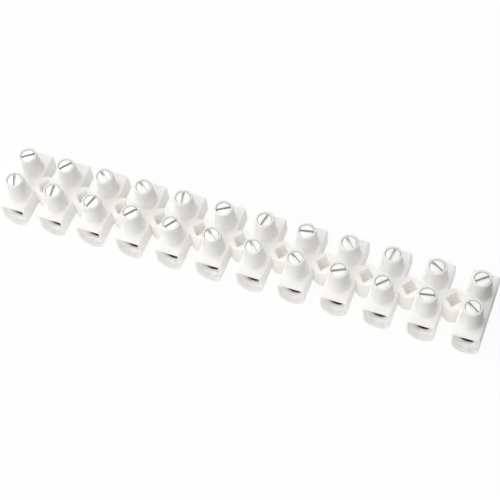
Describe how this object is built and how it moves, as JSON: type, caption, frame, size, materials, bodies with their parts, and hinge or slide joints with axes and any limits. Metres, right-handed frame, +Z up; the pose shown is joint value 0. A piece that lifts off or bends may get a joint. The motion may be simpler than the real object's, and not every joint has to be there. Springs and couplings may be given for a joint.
{
  "type": "screw terminal strip",
  "caption": "White moulded terminal strip: a row of poles, each with a brass wire clamp under two slotted screws in chimneys, and fixing eyes between the poles.",
  "frame": {"origin": "centre of the strip's length and width, on the plane of its underside", "axes": "+X along the row of poles, +Y from the front mouths to the back mouths, +Z up through the screws"},
  "size_m": [0.1348, 0.0194, 0.0149],
  "materials": {
    "white_moulding": "satin",
    "clamp_brass": "satin",
    "screw_steel": "satin"
  },
  "bodies": {
    "strip": {"housing": "white_moulding", "clamp_01": "clamp_brass", "clamp_02": "clamp_brass", "clamp_03": "clamp_brass", "clamp_04": "clamp_brass", "clamp_05": "clamp_brass", "clamp_06": "clamp_brass", "clamp_07": "clamp_brass", "clamp_08": "clamp_brass", "clamp_09": "clamp_brass", "clamp_10": "clamp_brass", "clamp_11": "clamp_brass", "clamp_12": "clamp_brass"},
    "front_screw_01": {"front_screw_01": "screw_steel"},
    "front_screw_02": {"front_screw_02": "screw_steel"},
    "front_screw_03": {"front_screw_03": "screw_steel"},
    "front_screw_04": {"front_screw_04": "screw_steel"},
    "front_screw_05": {"front_screw_05": "screw_steel"},
    "front_screw_06": {"front_screw_06": "screw_steel"},
    "front_screw_07": {"front_screw_07": "screw_steel"},
    "front_screw_08": {"front_screw_08": "screw_steel"},
    "front_screw_09": {"front_screw_09": "screw_steel"},
    "front_screw_10": {"front_screw_10": "screw_steel"},
    "front_screw_11": {"front_screw_11": "screw_steel"},
    "front_screw_12": {"front_screw_12": "screw_steel"},
    "back_screw_01": {"back_screw_01": "screw_steel"},
    "back_screw_02": {"back_screw_02": "screw_steel"},
    "back_screw_03": {"back_screw_03": "screw_steel"},
    "back_screw_04": {"back_screw_04": "screw_steel"},
    "back_screw_05": {"back_screw_05": "screw_steel"},
    "back_screw_06": {"back_screw_06": "screw_steel"},
    "back_screw_07": {"back_screw_07": "screw_steel"},
    "back_screw_08": {"back_screw_08": "screw_steel"},
    "back_screw_09": {"back_screw_09": "screw_steel"},
    "back_screw_10": {"back_screw_10": "screw_steel"},
    "back_screw_11": {"back_screw_11": "screw_steel"},
    "back_screw_12": {"back_screw_12": "screw_steel"}
  },
  "joints": [
    {"name": "front_screw_01_travel", "type": "slide", "parent": "strip", "child": "front_screw_01", "axis": [0, 0, 1], "range_m": [-0.0034, 0.0003]},
    {"name": "front_screw_02_travel", "type": "slide", "parent": "strip", "child": "front_screw_02", "axis": [0, 0, 1], "range_m": [-0.0034, 0.0003]},
    {"name": "front_screw_03_travel", "type": "slide", "parent": "strip", "child": "front_screw_03", "axis": [0, 0, 1], "range_m": [-0.0034, 0.0003]},
    {"name": "front_screw_04_travel", "type": "slide", "parent": "strip", "child": "front_screw_04", "axis": [0, 0, 1], "range_m": [-0.0034, 0.0003]},
    {"name": "front_screw_05_travel", "type": "slide", "parent": "strip", "child": "front_screw_05", "axis": [0, 0, 1], "range_m": [-0.0034, 0.0003]},
    {"name": "front_screw_06_travel", "type": "slide", "parent": "strip", "child": "front_screw_06", "axis": [0, 0, 1], "range_m": [-0.0034, 0.0003]},
    {"name": "front_screw_07_travel", "type": "slide", "parent": "strip", "child": "front_screw_07", "axis": [0, 0, 1], "range_m": [-0.0034, 0.0003]},
    {"name": "front_screw_08_travel", "type": "slide", "parent": "strip", "child": "front_screw_08", "axis": [0, 0, 1], "range_m": [-0.0034, 0.0003]},
    {"name": "front_screw_09_travel", "type": "slide", "parent": "strip", "child": "front_screw_09", "axis": [0, 0, 1], "range_m": [-0.0034, 0.0003]},
    {"name": "front_screw_10_travel", "type": "slide", "parent": "strip", "child": "front_screw_10", "axis": [0, 0, 1], "range_m": [-0.0034, 0.0003]},
    {"name": "front_screw_11_travel", "type": "slide", "parent": "strip", "child": "front_screw_11", "axis": [0, 0, 1], "range_m": [-0.0034, 0.0003]},
    {"name": "front_screw_12_travel", "type": "slide", "parent": "strip", "child": "front_screw_12", "axis": [0, 0, 1], "range_m": [-0.0034, 0.0003]},
    {"name": "back_screw_01_travel", "type": "slide", "parent": "strip", "child": "back_screw_01", "axis": [0, 0, 1], "range_m": [-0.0034, 0.0003]},
    {"name": "back_screw_02_travel", "type": "slide", "parent": "strip", "child": "back_screw_02", "axis": [0, 0, 1], "range_m": [-0.0034, 0.0003]},
    {"name": "back_screw_03_travel", "type": "slide", "parent": "strip", "child": "back_screw_03", "axis": [0, 0, 1], "range_m": [-0.0034, 0.0003]},
    {"name": "back_screw_04_travel", "type": "slide", "parent": "strip", "child": "back_screw_04", "axis": [0, 0, 1], "range_m": [-0.0034, 0.0003]},
    {"name": "back_screw_05_travel", "type": "slide", "parent": "strip", "child": "back_screw_05", "axis": [0, 0, 1], "range_m": [-0.0034, 0.0003]},
    {"name": "back_screw_06_travel", "type": "slide", "parent": "strip", "child": "back_screw_06", "axis": [0, 0, 1], "range_m": [-0.0034, 0.0003]},
    {"name": "back_screw_07_travel", "type": "slide", "parent": "strip", "child": "back_screw_07", "axis": [0, 0, 1], "range_m": [-0.0034, 0.0003]},
    {"name": "back_screw_08_travel", "type": "slide", "parent": "strip", "child": "back_screw_08", "axis": [0, 0, 1], "range_m": [-0.0034, 0.0003]},
    {"name": "back_screw_09_travel", "type": "slide", "parent": "strip", "child": "back_screw_09", "axis": [0, 0, 1], "range_m": [-0.0034, 0.0003]},
    {"name": "back_screw_10_travel", "type": "slide", "parent": "strip", "child": "back_screw_10", "axis": [0, 0, 1], "range_m": [-0.0034, 0.0003]},
    {"name": "back_screw_11_travel", "type": "slide", "parent": "strip", "child": "back_screw_11", "axis": [0, 0, 1], "range_m": [-0.0034, 0.0003]},
    {"name": "back_screw_12_travel", "type": "slide", "parent": "strip", "child": "back_screw_12", "axis": [0, 0, 1], "range_m": [-0.0034, 0.0003]}
  ]
}
